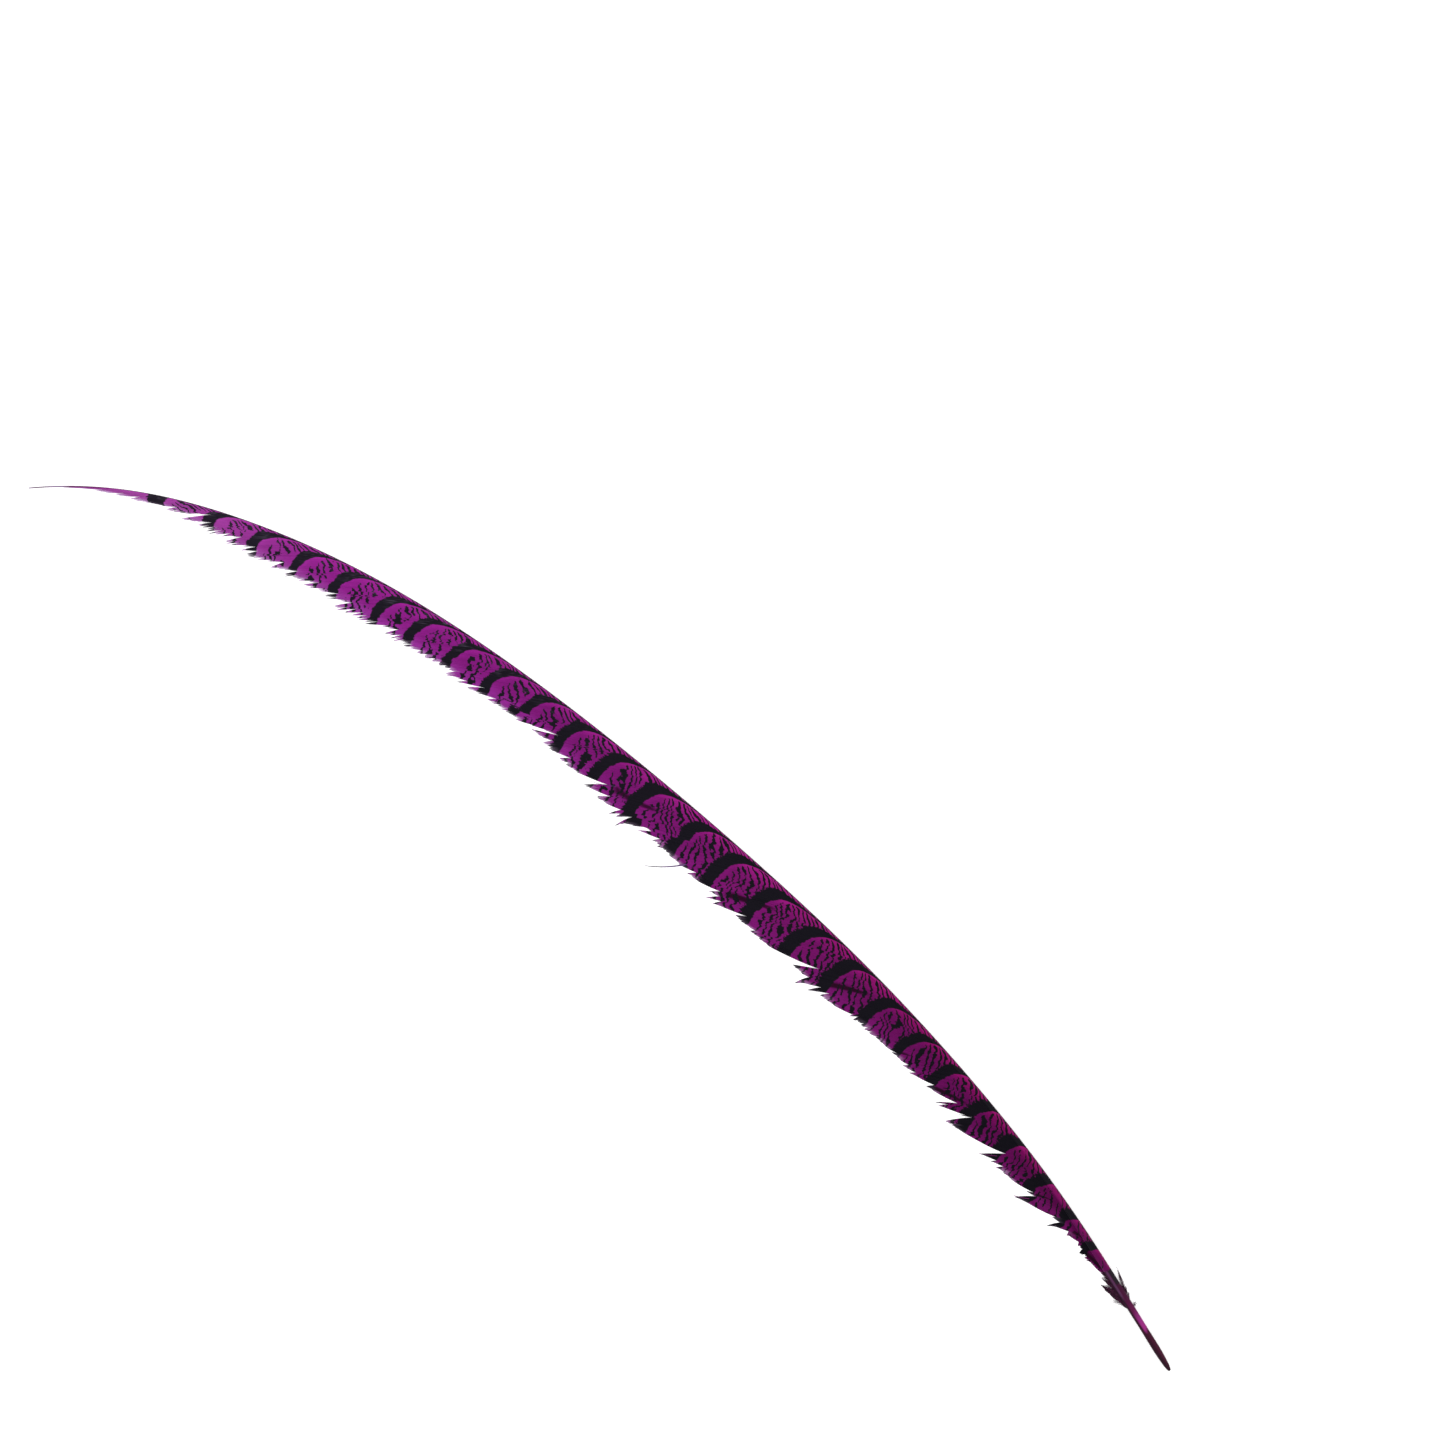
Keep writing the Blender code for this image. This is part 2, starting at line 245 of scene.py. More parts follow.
# Stray barbs: foot, tip, bow as a share of the length, and width and height at the foot.
STRAYS = (
    ((297.8, 20.1), (310.9, 31.9), 0.09, 0.6, 0.3), ((342, 14), (355.6, 20.2), 0.09, 0.2, 0.3),
    ((68.6, 4.4), (72.5, 9.4), 0.06, 0.2, 0.3), ((116, 12), (123, 18.2), 0.06, 0.24, 0.3),
    ((93, 12), (99.2, 17.2), 0.06, 0.3, 0.3),
)

# The down's tufts: the roots' span and their place as a share of the shaft's width, the spot
# that the tips reach for, how they scatter, and how many there are.
DOWN = (
    ((31.0, 31.8), 0.05, (32.3, -1.7), 0.15, 9), ((30.8, 31.4), 0.05, (31.5, -2.4), 0.1, 3),
    ((34.2, 36.0), 0.05, (37.0, -1.0), 0.25, 16), ((36.0, 38.0), 0.05, (39.6, -1.6), 0.25, 18),
    ((37.0, 40.0), 0.05, (41.0, -1.2), 0.25, 14), ((36.5, 39.5), 0.05, (49.2, -2.8), 0.25, 20),
    ((31.0, 35.0), 0.95, (37.5, 5.2), 0.25, 34), ((33.0, 36.0), 0.95, (38.0, 7.6), 0.5, 9),
    ((34.0, 38.5), 0.95, (43.2, 7.2), 0.3, 50), ((35.0, 39.5), 0.95, (46.6, 7.7), 0.2, 26),
    ((36.0, 41.0), 0.95, (44.8, 6.0), 0.3, 30), ((38.0, 44.0), 0.95, (48.3, 5.6), 0.35, 34),
    ((42.0, 48.0), 0.95, (51.2, 4.4), 0.25, 26),
)
DOWN_REACH = (0.5, 1.0)
DOWN_BOW = 0.15
DOWN_WIDTHS = (0.1, 0.2)
DOWN_HEIGHTS = (0.25, 0.6)

# The dye's colours along the shaft: beside it, mid-web and at the free edge. Beside the shaft
# they are brighter, partly from the dye and partly as a painted highlight.
NEAR_SHAFT = (
    (60, (112, 5, 78)), (170, (132, 8, 92)), (280, (146, 23, 117)), (380, (141, 27, 124)),
    (500, (148, 34, 138)), (600, (152, 62, 150)),
)
MID_WEB = (
    (60, (82, 3, 66)), (150, (90, 6, 76)), (270, (109, 14, 95)), (380, (114, 18, 106)),
    (500, (134, 28, 129)), (600, (158, 72, 156)),
)
FREE_EDGE = (
    (60, (96, 12, 82)), (300, (120, 20, 110)), (460, (144, 46, 147)), (600, (164, 100, 168)),
)
MID_COMES = (0.0, 0.4)
EDGE_COMES = (0.6, 1.0)

# How the dye's brightness differs: broadly, in silky streaks and from barb to barb. A painted
# highlight brightens it beside a bar's smooth edge, near the shaft. Places are features of the
# meshes, each with a span.
BROAD_TONE = dict(amount=0.16, scale=0.12, layer=7, detail=3)
SILK = dict(amount=0.1, scale=2, squeeze=(0.3, 1))
SILK_LAYERS = 9
BARB_TONE = 0.06
PAINTED_HIGHLIGHT = 0.16
PAINTED_HIGHLIGHT_PLACES = (("outside", 2.6, 0.3), ("past_bar", 0.55, 0.7), ("share", 0.75, 0.35))

# The barbs' ends pale over their last millimetres, more at later stations, and black less.
END_LENGTH = 6
PALE_TIP = (196, 168, 204)
PALE_ENDS = (0.75, 0.0)
PALE_BARBS = 0.22
PALE_PLACES = (("share", 0.5, 0.9), ("along", 64, 84))
PALE_GROWS = ((250, 520), 0.42, 0.77)
BLACK_PALING = 0.25

# Black, and a painted sheen in streaks along its barbs near the shaft.
BLACK = ((50, (12, 10, 17)), (440, (22, 19, 27)), (600, (32, 26, 38)))
BLACK_SHEEN_COLOUR = (82, 74, 90)
BLACK_SHEEN_STREAKS = dict(scale=1.4, squeeze=(0.15, 4), detail=1)
BLACK_SHEEN_PARTS = (0.0, 0.5)
BLACK_SHEEN_PLACES = (("along", 330, 450), ("share", 0.6, 0.3))
BLACK_SHEEN_AMOUNT = 0.6

# A bar's edge wavers, and frays by this much and by more on its side towards the tip.
BAR_WAVER = dict(amount=0.9, scale=0.16)
BAR_FRAY = dict(scale=0.9, squeeze=(1, 1.6))
LEAST_FRAY = 0.25
MORE_FRAY = ((380, 470), 1.8, 0.18)
FRAYED_SIDE = (0.65, 0.35)
BAR_EDGE = (0.25, -0.2)

# The fine lines sway, curl and wobble by shares of their period, and break into strokes and
# dots. They are black where their wave is past this span.
LINE_SWAY = dict(amount=0.8, scale=0.45, squeeze=(1, 0.2), detail=1)
LINE_CURL = dict(amount=0.7, scale=0.14, layer=23, detail=0)
LINE_WOBBLE = dict(scale=0.45, layer=3, detail=1)
WOBBLE_GROWS = ((380, 480), 0.45, 0.63)
STROKES = dict(amount=1.3, scale=1, squeeze=(1.5, 0.32), layer=9, detail=1)
DOTS = dict(amount=0.55, scale=0.8, layer=17, detail=1)
LINE_EDGE = (0.27, 0.4)

# The lines stop before a bar and, out in the web, begin past the next, both by more at later
# stations. They are bolder beside the shaft, and fewer at some stations.
STOP_BEFORE = (0.72, 0.82)
STOP_GROWS = ((280, 420), 0.0, 0.07)
BEGIN_AFTER = (0.5, -0.3)
BEGIN_GROWS = ((220, 500), 0.0, -2.8)
BEGIN_OUTSIDE = (0.15, 0.45)
CLEARING = -1.2
BESIDE_SHAFT = (0.35, 0.1)
BESIDE_GROWS = ((400, 480), 0.15, 0.4)
LINES_FEWER = (((450, 540), 0.0, -0.1), ((140, 60), 0.0, -0.5), ((572, 577), 0.0, -3.0))

# The painted shade in the creases, the down with where it ends, and the stray barbs.
CREASE_SHADE_COLOUR = (30, 3, 20)
DOWN_COLOUR = (38, 12, 32)
DOWN_PALER = (78, 22, 60)
DOWN_ENDS = (49, 45)
DOWN_TINTS = (-0.5, 0.7)
DOWN_GRAIN = 1.2
STRAY_DARK = (40, 30, 44)
STRAY_MIDDLE = (72, 38, 90)
STRAY_PALE = (112, 84, 132)
STRAY_EARLY = (110, 30, 96)
STRAY_TINTS = (-0.4, 0.6)
STRAY_GRAIN = 0.6
STRAY_TURNS = (140, 200)
STRAY_BARS = 0.8

# The quill's colours along it and in its painted shade on the flank towards the web, how each
# slants across it, and its streaks. A flank is a share of the shaft's width.
QUILL = (
    (0, (44, 14, 28)), (6, (62, 14, 38)), (19.5, (58, 13, 36)), (21.5, (142, 38, 116)),
    (25.5, (132, 36, 112)), (31, (84, 16, 62)), (37, (62, 14, 46)), (45, (56, 12, 42)),
)
QUILL_SHADE = ((0, (34, 10, 24)), (20, (46, 10, 30)), (30, (36, 9, 28)), (48, (28, 14, 30)))
HORN_STREAKS = dict(scale=1.6, squeeze=(0.12, 2.2))
HORN_RELIEF = dict(scale=2.5, squeeze=(0.3, 4))
QUILL_SLANT = 2.0
QUILL_STREAKS = 1.2
SHADED_FLANK = (0.2, 0.5)
SHADE_SLANT = -0.012
SHADE_STREAKS = 0.1

# A painted sheen and a dark patch on the quill, then the web's colours with a dark line down the
# shaft's bulging side, then the bare tip's.
QUILL_SHEEN = (78, 44, 76)
SHEEN_PLACES = (("flank", 0.5, 0.65), ("along", 34, 40), ("flank", 0.92, 0.78))
DARK_PATCH = (30, 22, 30)
PATCH_PLACES = (("along", 42, 43.5), ("flank", 0.6, 0.45))
WEB_BEGINS = (49.3, 50.3)
WEB_STREAKS = 0.8
BULGE_LINE = (28, 10, 24)
BULGE_PLACES = (("across", 0.4, 0.15), ("along", 55, 70), ("along", 605, 585))
FLANK_AMOUNT = 0.85
BARE_TIP = (
    (586, (110, 18, 102)), (612, (78, 2, 72)), (614.5, (108, 72, 120)), (619, (104, 68, 114)),
    (622, (74, 10, 72)), (626, (74, 12, 74)), (628.5, (124, 102, 134)),
)
BARE_FROM = (586, 600)

# Each surface's roughness and how that varies, its relief's strength, its sheen and its shine.
KERATIN_IOR = 1.54
BARB_FINISH = (0.56, 0.08, 0.35, 0.0, 0.03)
DOWN_FINISH = (0.65, 0.1, 0.3, 0.03, 0.07)
STRAY_FINISH = (0.6, 0.1, 0.3, 0.03, 0.07)
SHAFT_FINISH = (0.42, 0.06, 0.3, 0.0, 0.05)
BARB_GRAIN = 1.5
BARBULES = dict(scale=6, squeeze=(3, 1))
BARBULE_DEPTH = 0.00006
HORN_DEPTH = 0.0001

# The light, and how bright it makes a white surface that faces it.
SUNS = ((35, 42), (125, 42), (215, 42), (305, 42))
SUN_STRENGTH = 1.05
SUN_SPREAD = 45
SKY_STRENGTH = 0.6
BRIGHTNESS = 1.12
WHITE = (1.0, 1.0, 1.0, 1.0)

# The floor, a wide pale sheet just under the feather, in metres. It glows faintly white though
# it is no lamp, a painted light that washes out the shade beside the feather.
FLOOR_REACH = 6.0
FLOOR_DROP = 0.0001
FLOOR_COLOUR = (0.93, 0.93, 0.93, 1.0)
FLOOR_GLOW = 0.2
FLOOR_SHINE = 0.05
FLOOR_GRAIN = 400
FLOOR_ROUGHNESS = (0.9, 0.03)

# The camera looks straight down, and its picture's right-hand side points this way.
PICTURE_WIDTH = 606.9
PICTURE_CENTRE = (314.94, -100.37)
PICTURE_RIGHT = -142.29
LENS = 85
SENSOR = 36
CLIPPING = (0.01, 20)

# A strand's section: its corners' shares of half its width and of half its thickness.
STRAND_CORNERS = ((1, 0), (0, 1), (-1, 0), (0, -0.7))

# The maps for baking: the parts of their width and of a row that a skin fills.
STRAND_SPAN = (0.004, 0.996)
STRAND_ROW = (0.1, 0.74)
SHAFT_SPAN = (0.01, 0.99)
SHAFT_ROW = (0.05, 0.9)
SHAFT_ROWS = 12
END_CENTRES = ((0.3, 0.9958), (0.7, 0.9958))
END_SIZE = (0.02, 0.002)


def curve_through(points, at):
    """The smooth curve through (station, value), at one station or many."""
    stations, values = np.array(points, float).T
    slopes = np.gradient(values, stations)
    at = np.clip(at, stations[0], stations[-1])
    low = np.clip(np.searchsorted(stations, at) - 1, 0, len(stations) - 2)
    span = stations[low + 1] - stations[low]
    t = (at - stations[low]) / span
    ease = t * t * (3 - 2 * t)
    turn = span * t * (1 - t) * (slopes[low] * (1 - t) - slopes[low + 1] * t)
    return values[low] * (1 - ease) + values[low + 1] * ease + turn


def line_through(points, at):
    """The straight lines through (station, value)."""
    return np.interp(at, *np.array(points, float).T)


def rise(value, low, high):
    """0 below low, 1 above high, and eased between."""
    share = np.clip((value - low) / (high - low), 0.0, 1.0)
    return share * share * (3 - 2 * share)


def blend(a, b, share):
    return a + (b - a) * share


def vectors(*parts):
    """The parts, spread to one shape, as vectors."""
    return np.stack(np.broadcast_arrays(*parts), -1)


def lengths(ways):
    return np.linalg.norm(ways, axis=-1)[..., None]


def unit(ways):
    return ways / np.maximum(lengths(ways), TINY)


def shaft_width(along):
    return curve_through(SHAFT_WIDTHS, along)


def shaft_height(along):
    return shaft_width(along) * SHAFT_FLATNESS


def web_reach(along):
    return curve_through(WEB_OUTLINE, along)


def shaft_line():
    """Each millimetre's station along the shaft, its centre and its heading."""
    stations = np.linspace(0, LENGTH, round(LENGTH) + 1)
    tenths = np.linspace(0, LENGTH, len(HEADINGS))
    headings = np.radians(curve_through(np.stack([tenths, HEADINGS], 1), stations))
    middle = (headings[1:] + headings[:-1]) / 2
    steps = np.diff(stations)[:, None] * np.stack([np.cos(middle), np.sin(middle)], 1)
    centres = np.concatenate([[[0, 0]], np.cumsum(steps, 0)])
    return stations, centres, headings


STATIONS, CENTRES, TURNS = shaft_line()


def beside_shaft(along, sideways):
    """The spot's place in plan beside the shaft's centre line, from the quill's end."""
    x = np.interp(along, STATIONS, CENTRES[:, 0])
    y = np.interp(along, STATIONS, CENTRES[:, 1])
    heading = np.interp(along, STATIONS, TURNS)
    return x - sideways * np.sin(heading), y + sideways * np.cos(heading)


def quill_end():
    """Where the solid's quill ends in plan, from the box that the solid fills."""
    x, y = beside_shaft(STATIONS, -shaft_width(STATIONS) / 2)
    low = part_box("feather")[0]
    return np.array([low.x / MM - x.min(), low.y / MM - y.min()])


def feather_points(along, across, height):
    """The points, in metres, of the spots at a height."""
    x, y = beside_shaft(along, across - shaft_width(along) / 2)
    return np.stack([x + QUILL_END[0], y + QUILL_END[1], height], -1) * MM


class Lock(NamedTuple):
    """A lock of barbs, with the splits before and after it and their roots' stations."""

    number: int
    split: np.ndarray
    root: float
    next_split: np.ndarray
    next_root: float
    point: np.ndarray

    @property
    def length(self):
        return self.next_root - self.root

    @property
    def hairy(self):
        return rise(self.point[0], *HAIRY_COMES) * rise(self.point[0], *HAIRY_GOES)

    @property
    def out(self):
        """How far the point stands out of the web."""
        return self.point[1] - web_reach(self.point[0])


def split_root(split):
    """The station where the barbs on both rims of a split leave the shaft."""
    along, across = split
    lean = np.radians(curve_through(BARB_LEANS, along))
    return along - (across - shaft_width(along)) / np.tan(lean)


def all_locks():
    locks = []
    split, root = np.array(WEB_START), WEB_START_ROOT
    for number, spots in enumerate(LOCKS):
        point, next_split = np.array(spots).reshape(2, 2)
        next_root = max(split_root(next_split), root + LOCK_GAP)
        locks.append(Lock(number, split, root, next_split, next_root, point))
        split, root = next_split, next_root
    return locks


def rim_corner(lock):
    """Where a lock stops following its rim and turns to its free edge."""
    ahead, out = lock.point - lock.split
    rim_lean = np.radians(curve_through(BARB_LEANS, lock.split[0])) * RIM_LEAN
    lean = max(rim_lean, np.arctan2(out, ahead))
    along = lock.split[0] + ahead * RIM_SHARE * np.linspace(0, 1, RIM_STEPS)
    across = lock.split[1] + (along - lock.split[0]) * np.tan(lean)
    allowed = RIM_OVERHANG * max(0.0, lock.out) / SPIKES.get(lock.number, 1.0) ** 2
    inside = across < web_reach(along) + allowed
    last = max(np.flatnonzero(inside), default=1)
    return np.array([along[last], across[last]])


def edge_spots(lock, share):
    """The spots at shares of the way from a lock's split round its corner to its point."""
    turn = HAIRY_RIM * lock.hairy
    shares = np.stack([share, share ** SPIKES.get(lock.number, 1.0)], 1)
    first = np.clip(shares / max(turn, TINY), 0, 1)
    second = np.clip((shares - turn) / (1 - turn), 0, 1)
    return blend(blend(lock.split, rim_corner(lock), first), lock.point, second)


def barb_shares(lock):
    """Each barb's place among its lock's roots, from 0 to 1."""
    spacing = line_through(BARB_SPACINGS, lock.next_root)
    count = max(FEWEST_BARBS, round(lock.length / spacing))
    return (np.arange(count) + 0.5) / count


def clump_ends(chance, lock):
    """The shares of a lock's roots at which its clumps end."""
    size = 1 + HAIRY_CLUMPS * lock.hairy
    ends = [0.0]
    while ends[-1] < lock.length:
        ends.append(ends[-1] + chance.uniform(*CLUMP_ROOTS) * size)
    if len(ends) > 2 and ends[-1] - lock.length > lock.length - ends[-2]:
        ends.pop()
    if lock.out > LONE_OUT and lock.length < LONE_ROOTS:
        ends = [0.0, 1.0]
    return np.array(ends) / ends[-1]


def clinging(chance, lock, share):
    """Each barb's clump, its tip's place among the tips, and how far it reaches."""
    ends = clump_ends(chance, lock)
    size = len(ends) - 1
    clump = np.clip(np.searchsorted(ends, share) - 1, 0, size - 1)
    focus = blend((ends[clump] + ends[clump + 1]) / 2, ends[clump + 1], CLUMP_FOCUS)
    pinch = chance.uniform(*CLUMP_PINCH, size)[clump] * (1 + HAIRY_PINCH * lock.hairy)
    pinch = np.minimum(pinch, PINCH_LIMIT)
    reach = chance.uniform(*CLUMP_REACH, size)[clump]
    reach = reach + chance.uniform(-1, 1, len(share)) * BARB_REACH
    reach = reach * (1 + HAIRY_REACH * lock.hairy)
    reach = reach - CLUMP_FALL * pinch * np.abs(share - focus) * size
    last = clump == size - 1
    focus = np.where(last, 1.0, focus)
    pinch = np.where(last, LAST_PINCH if size > 1 else LONE_PINCH, pinch)
    reach = np.where(last, LAST_REACH + LAST_FALL * (share - 1) * size, reach)
    return clump, blend(share, focus, pinch), reach


def barb_roots(lock, share):
    """Each barb's foot in the shaft, its waist, where the lock parts, and its way there."""
    stations = blend(lock.root, lock.next_root, share)
    foot = np.stack([stations, shaft_width(stations) * (1 - ROOT_SINK)], 1)
    waist = blend(lock.split, lock.next_split, share[:, None])
    way = unit(waist - foot)
    return foot, waist - way * (HAIRY_DEPTH * lock.hairy), way


def barb_tips(lock, waist, way, share, reach):
    """Where each barb bends, past its waist, and where its tip is."""
    tip = edge_spots(lock, share)
    size = lengths(tip - waist)
    bend = waist + way * (BEND * size)
    way = unit(tip - bend)
    reach = np.minimum(reach, LONGEST * web_reach(tip[:, 0]))[:, None]
    return bend, tip + way * np.maximum(reach, -SHORTEST * size)


def scatter(draw, clump, amounts):
    """A random value for each barb: its clump's, and one of its own."""
    by_clump, by_barb = amounts
    return draw(clump[-1] + 1)[clump] * by_clump + draw(len(clump)) * by_barb


def lock_barbs(chance, lock):
    """Every barb of a lock: its spots, and how it departs from its place."""
    share = barb_shares(lock)
    clump, tip_share, reach = clinging(chance, lock, share)
    foot, waist, way = barb_roots(lock, share)
    bend, tip = barb_tips(lock, waist, way, tip_share, reach)
    return {
        "lock": np.full(len(share), lock.number),
        "hairy": np.full(len(share), lock.hairy),
        "slide": np.full(len(share), LOCK_SLIDES.get(lock.number, 0.0)),
        "spots": np.stack([foot, waist, bend, tip], 1),
        "slip": scatter(chance.standard_normal, clump, SLIPS),
        "lift": scatter(chance.standard_normal, clump, LIFTS),
        "tone": scatter(lambda count: chance.uniform(-1, 1, count), clump, TONES),
    }


def all_barbs():
    """The barbs of the whole web, in order, as one array for each key."""
    chance = np.random.default_rng(SEED)
    locks = [lock_barbs(chance, lock) for lock in all_locks()]
    return {key: np.concatenate([lock[key] for lock in locks]) for key in locks[0]}


def bend_through(foot, bend, tip, t):
    """The spots at shares t of the curve from a foot to a tip, drawn to a bend."""
    return foot * (1 - t) ** 2 + bend * 2 * t * (1 - t) + tip * t * t


def barb_lines(spots):
    """The spots along every barb, as an array of (barb, step, 2)."""
    inner = np.linspace(0, 1, INNER_STEPS, endpoint=False) ** ROOT_CROWDING
    outer = np.linspace(0, 1, OUTER_STEPS + 1)
    foot, waist, bend, tip = spots[:, None].transpose(2, 0, 1, 3)
    straight = blend(foot, waist, inner[:, None])
    return np.concatenate([straight, bend_through(waist, bend, tip, outer[:, None])], 1)


def steps_between(spots):
    """The direction of each strand at each spot, and the distance left to its tip."""
    ahead = np.diff(spots, axis=1)
    size = np.linalg.norm(ahead, axis=2)
    left = np.pad(np.cumsum(size[:, ::-1], 1)[:, ::-1], ((0, 0), (0, 1)))
    ahead = np.concatenate([ahead, ahead[:, -1:]], 1)
    ahead[:, 1:-1] += ahead[:, :-2]
    return unit(ahead), left


def web_shares(along, across):
    """How far across the web a spot is, from 0 at the shaft to 1 at the free edge."""
    return np.clip(across / web_reach(along), 0, PAST_EDGE)


def web_height(along, across):
    """The height of the barbs, which fall from the shaft to the surface."""
    height, width = shaft_height(along), shaft_width(along)
    reach = np.maximum(web_reach(along) - width, width / 2)
    fall = rise(across - width * (1 - ROOT_SINK), 0, FLAT_FROM * reach)
    return blend(height * ROOT_HEIGHT, np.minimum(EDGE_HEIGHT, height / 2), fall)


def bar_spread(along, across):
    """How much farther a bar reaches on each side, beside the shaft."""
    spread = BAR_SPREAD / (across + SPREAD_SOFTNESS) - BAR_SPREAD / (BAR_MIDDLE + SPREAD_SOFTNESS)
    spread = np.maximum(spread, 0) * rise(across, *SPREAD_COMES)
    return spread * line_through(SPREAD_SHARES, along)


def bars_at(along, across):
    """How far a spot is outside a black bar, and its place, counted in bars."""
    stations, widths, tails = np.array(BARS).T
    across = np.maximum(across, 0)
    tail = curve_through(np.stack([stations, tails], 1), along) / (across + TAIL_SOFTNESS)
    straight = along + tail + BAR_DROOP * rise(across / web_reach(along), *DROOP_COMES)
    middles = stations + tails / (BAR_MIDDLE + TAIL_SOFTNESS)
    outside = np.min(np.abs(straight[..., None] - middles) - widths / 2, -1)
    cycle = np.interp(straight, middles, np.arange(len(middles)))
    cycle = np.where(straight > middles[-1], len(middles) - 1 + PAST_BARS, cycle)
    return outside - bar_spread(along, across), cycle


def line_at(along, across):
    """The fine line that a spot is on, counted from the quill."""
    across = np.maximum(across, 0)
    count = np.cumsum(1 / curve_through(LINE_PERIODS, STATIONS))
    bow = curve_through(LINE_BOWS, along) * np.log(across + LINE_SOFTNESS)
    fan = line_through(LINE_FANS, along) * np.exp(-across / FAN_REACH)
    return np.interp(along, STATIONS, count) + bow - fan


def crease_shade(along, across):
    """How much painted shade each crease puts on a spot, from 0 to 1."""
    shade = np.zeros_like(along)
    for spots, width, depth in SHADED_CREASES:
        (start, low), *_, (end, high) = spots
        share = (along - start) / (end - start)
        slope = (high - low) / (end - start)
        away = np.abs(across - curve_through(spots, along)) / math.hypot(1, slope)
        ends = rise(share, *CREASE_COMES) * rise(share, *CREASE_GOES)
        swell = width * (CREASE_START + share)
        shade = np.maximum(shade, depth * ends * rise(away / swell, *CREASE_FADES))
    return shade


def patch_slide(along, across):
    """How far the slid patch carries a spot's marks."""
    (first, last), edge, slide = SLID_PATCH
    inside = rise(along, first, first + 1) * rise(along, last, last - 1)
    return slide * inside * rise(across, *edge)


def features_of(along, bars_along, across, tone, share, crease, left):
    """What the materials read of each spot, as three vectors."""
    outside, cycle = bars_at(bars_along, across)
    return {
        "place": vectors(along, across, tone),
        "marks": vectors(outside, cycle, line_at(along, across)),
        "look": vectors(share, crease, np.clip(left / END_LENGTH, 0, 1)),
    }


def new_mesh(name, points, faces, features, bake_map):
    """A smooth mesh with its features, and a map of its own for baking."""
    mesh = bpy.data.meshes.new(name)
    mesh.from_pydata(points.reshape(-1, 3), [], faces)
    for key, values in features.items():
        layer = mesh.attributes.new(key, "FLOAT_VECTOR", "POINT")
        layer.data.foreach_set("vector", values.reshape(-1).astype(np.float32))
    layer = mesh.uv_layers.new(name="OFBake")
    layer.data.foreach_set("uv", bake_map.reshape(-1).astype(np.float32))
    mesh.polygons.foreach_set("use_smooth", np.ones(len(mesh.polygons), bool))
    mesh.update()
    return mesh


def directions(along, ahead, tilt):
    """Directions to a strand's edge and crown where it runs ahead."""
    heading = np.interp(along, STATIONS, TURNS)
    cos, sin = np.cos(heading), np.sin(heading)
    x = ahead[..., 0] * cos - ahead[..., 1] * sin
    y = ahead[..., 0] * sin + ahead[..., 1] * cos
    flat, up = vectors(-y, x, 0.0), np.array([0.0, 0.0, 1.0])
    lean = np.radians(tilt)
    return flat * np.cos(lean) + up * np.sin(lean), up * np.cos(lean) - flat * np.sin(lean)


def strand_map(strands, steps):
    """Lays each strand's skin in a row of its own, over the map's whole width."""
    along = np.linspace(*STRAND_SPAN, steps)[None, :, None]
    corners = np.linspace(*STRAND_ROW, len(STRAND_CORNERS) + 1)
    rows = (np.arange(strands)[:, None, None] + corners) / strands
    spots = vectors(along, rows)
    near, far = spots[:, :-1], spots[:, 1:]
    walls = np.stack([near[:, :, :-1], near[:, :, 1:], far[:, :, 1:], far[:, :, :-1]], 3)
    return np.concatenate([walls.reshape(-1, 4, 2), spots[:, 0, 3::-1], spots[:, -1, :4]])


def strand_mesh(name, spots, ahead, heights, widths, thicknesses, tilt, features):
    """One mesh of closed strands, with a four-cornered section along their spots."""
    strands, steps = widths.shape
    points = feather_points(spots[..., 0], spots[..., 1], heights)
    sides, tops = directions(spots[..., 0], ahead, tilt)
    sides = sides * (widths[..., None] / 2 * MM)
    tops = tops * (thicknesses[..., None] / 2 * MM)
    vertices = np.stack([points + sides * side + tops * up for side, up in STRAND_CORNERS], 2)
    numbers = np.arange(strands * steps * 4).reshape(strands, steps, 4)
    near, far = numbers[:, :-1], numbers[:, 1:]
    walls = np.stack([near, np.roll(near, -1, 2), np.roll(far, -1, 2), far], -1).reshape(-1, 4)
    faces = np.concatenate([walls, numbers[:, 0, ::-1], numbers[:, -1]]).tolist()
    features = {key: np.repeat(values[:, :, None], 4, 2) for key, values in features.items()}
    return new_mesh(name, vertices, faces, features, strand_map(strands, steps))


def new_object(name, data):
    thing = bpy.data.objects.new(name, data)
    bpy.context.scene.collection.objects.link(thing)
    return thing


def add_piece(mesh, material):
    mesh.materials.append(material)
    piece = new_object(mesh.name, mesh)
    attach(piece, "root")
    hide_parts("feather")


def barb_widths(barbs, spots, ahead, left):
    """Each barb's width at its spots: it covers the way to the next, then tapers."""
    gap = np.diff(spots, axis=0)
    apart = np.abs(gap[..., 0] * ahead[:-1, :, 1] - gap[..., 1] * ahead[:-1, :, 0])
    apart = np.concatenate([apart, apart[-1:]])
    last = np.flatnonzero(np.append(np.diff(barbs["lock"]) > 0, True))
    apart[last, INNER_STEPS:] = apart[last - 1, INNER_STEPS:]
    cover = line_through(BARB_COVERS, np.arange(spots.shape[1]))
    widths = np.clip(apart * cover, *BARB_WIDTHS) * line_through(BARB_THINNING, spots[..., 0])
    hairy = barbs["hairy"][:, None]
    ends = np.clip(left / blend(TAPER, HAIRY_TAPER, hairy), 0, 1) ** TAPER_POWER
    widths = blend(np.minimum(blend(HAIR_WIDTH, HAIRY_WIDTH, hairy), widths), widths, ends)
    widths[:, -1] *= LAST_STEP
    return widths


def barb_features(barbs, along, across, share, left):
    """What the materials read of every barb, whose marks slide and slip along with it."""
    slide = barbs["slide"][:, None] * rise(share, *SLIDE_COMES) + patch_slide(along, across)
    slip = barbs["slip"][:, None] * rise(share, *SLIP_COMES)
    tone, crease = barbs["tone"][:, None], crease_shade(along, across)
    slid = along + slide
    return features_of(slid + slip, slid + slip * BAR_SLIP, across, tone, share, crease, left)


